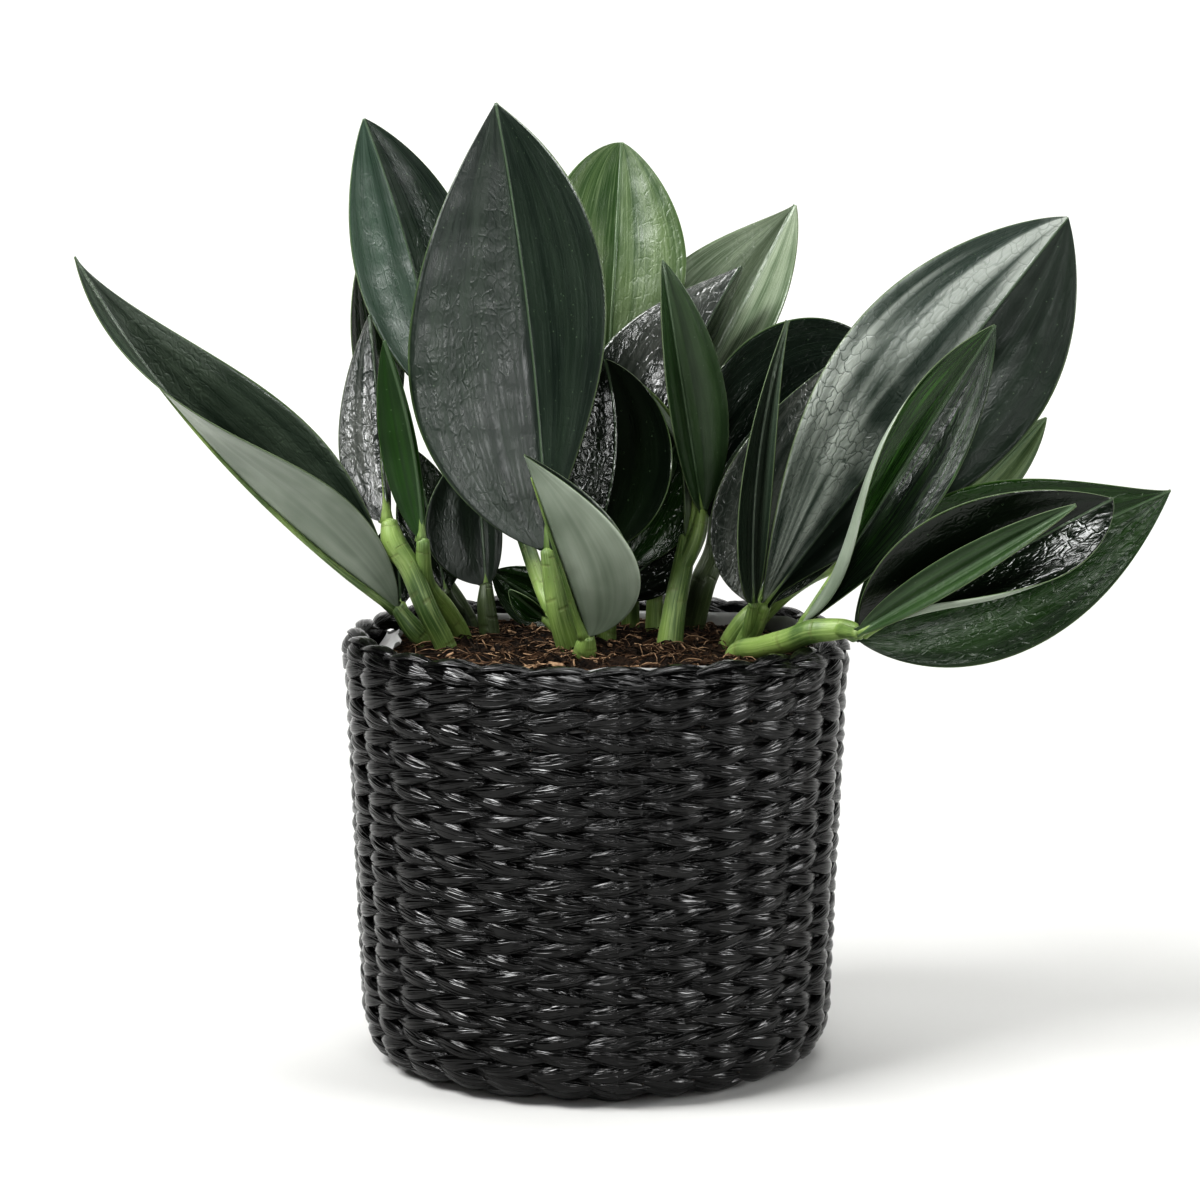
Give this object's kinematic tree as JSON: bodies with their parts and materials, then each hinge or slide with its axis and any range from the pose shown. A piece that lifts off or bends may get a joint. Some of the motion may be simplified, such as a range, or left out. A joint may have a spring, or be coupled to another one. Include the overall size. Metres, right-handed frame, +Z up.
{
  "type": "potted foliage plant",
  "caption": "Dark-leaved potted aroid: thick pointed leaves on green petioles rising from soil in a black braided basket.",
  "frame": {"origin": "centre of the flat underside of the basket", "axes": "+Z up along the basket's axis, -Y towards the side that is usually seen, +X to its right"},
  "size_m": [0.3597, 0.184, 0.3207],
  "materials": {
    "basket": "gloss black dyed flat strand",
    "liner": "thin cloudy film",
    "soil": "dry bark and coir fibre",
    "stem": "smooth satin green",
    "leaf": "thick semi-gloss dark green leaf"
  },
  "bodies": {
    "root": {"basket": "basket", "liner": "liner", "soil": "soil", "stem_far_left": "stem", "stem_left_fork": "stem", "stem_back_left": "stem", "stem_dark_left": "stem", "stem_front_fork": "stem", "stem_front_small": "stem", "stem_middle": "stem", "stem_back_low": "stem", "stem_soil_left": "stem", "stem_centre": "stem", "stem_back_centre": "stem", "stem_back_tall": "stem", "stem_right_back": "stem", "stem_right_fork": "stem", "stem_arching_right": "stem", "stem_trailing": "stem", "leaf_far_left": "leaf", "leaf_upper_left": "leaf", "leaf_tall_centre": "leaf", "leaf_small_front": "leaf", "leaf_back_centre": "leaf", "leaf_back_right": "leaf", "leaf_narrow_upright": "leaf", "leaf_edge_on": "leaf", "leaf_black_glossy": "leaf", "leaf_striped_tip": "leaf", "leaf_streaked_low": "leaf", "leaf_dark_low": "leaf", "leaf_hooked_right": "leaf", "leaf_ovate_right": "leaf", "leaf_rolled_young": "leaf", "leaf_large_right": "leaf", "leaf_front_right": "leaf", "leaf_low_right": "leaf", "leaf_spear": "leaf", "leaf_rear_low_right": "leaf", "leaf_behind_large": "leaf", "leaf_green_upright": "leaf", "leaf_glossy_left": "leaf", "leaf_back_left": "leaf", "leaf_dark_left": "leaf", "leaf_dark_narrow": "leaf", "leaf_low_left": "leaf", "leaf_at_soil": "leaf", "leaf_bract": "leaf"}
  },
  "joints": []
}
